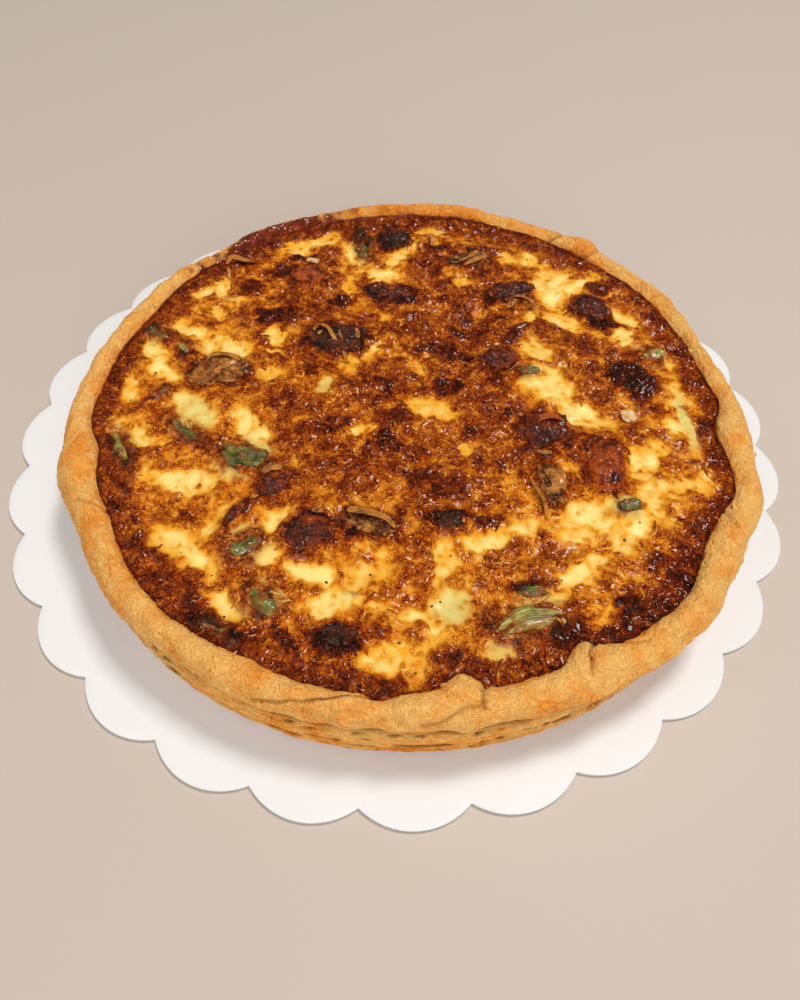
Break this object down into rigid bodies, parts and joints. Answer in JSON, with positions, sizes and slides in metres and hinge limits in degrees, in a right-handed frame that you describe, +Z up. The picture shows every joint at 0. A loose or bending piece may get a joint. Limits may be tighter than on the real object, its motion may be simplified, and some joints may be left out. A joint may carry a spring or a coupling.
{
  "type": "quiche",
  "caption": "Round baked quiche with a folded flaky crust and a browned custard top set with leek, ham, onion and mushroom, on a scalloped white cake card.",
  "frame": {"origin": "middle of the card's underside, on the surface that the card lies on", "axes": "+Z up, square to the card; -Y towards the side with the crust's front fold"},
  "size_m": [0.3194, 0.3194, 0.0339],
  "materials": {
    "white_card": "smooth matt white board",
    "golden_pastry": "flaky baked pastry, dry, golden with browner patches",
    "browned_custard": "baked custard and cheese, yellow to dark brown, glossy",
    "leek_green": "cooked green leek, moist",
    "leek_pale": "cooked pale leek, moist",
    "browned_ham": "browned ham, glossy",
    "pink_ham": "pink ham, glossy",
    "tomato_slice": "roasted orange-red slice, glossy",
    "browned_onion": "browned onion strands, glossy",
    "mushroom": "dark roasted mushroom, glossy"
  },
  "bodies": {
    "root": {"cake_card": "white_card", "pastry_crust": "golden_pastry", "custard_filling": "browned_custard", "leek_slice_west": "leek_green", "leek_strip_rim": "leek_pale", "leek_double_band": "leek_green", "leek_leaf_northwest": "leek_green", "leek_pale_northwest": "leek_pale", "leek_leaf_southwest": "leek_green", "leek_dark_southwest": "leek_green", "leek_flake_rim": "leek_green", "leek_tube_southeast": "leek_green", "leek_long_southeast": "leek_pale", "leek_bit_east": "leek_green", "leek_bar_centre": "leek_green", "leek_blur_northeast": "leek_pale", "leek_leaf_north": "leek_green", "leek_blade_west": "leek_green", "ham_large_east": "browned_ham", "round_slice_east": "tomato_slice", "onion_tuft_east": "browned_onion", "onion_curl_west": "browned_onion", "ham_south": "browned_ham", "onion_south": "browned_onion", "ham_southwest": "browned_ham", "ham_strip_southwest": "browned_ham", "mushroom_gloss_south": "mushroom", "mushroom_south": "mushroom", "mushroom_northwest": "mushroom", "ham_strip_north": "browned_ham", "ham_pink_north": "pink_ham", "onion_pale_north": "browned_onion", "ham_centre": "browned_ham", "ham_ring_north": "browned_ham", "ham_northeast": "browned_ham", "mushroom_back": "mushroom"}
  },
  "joints": []
}
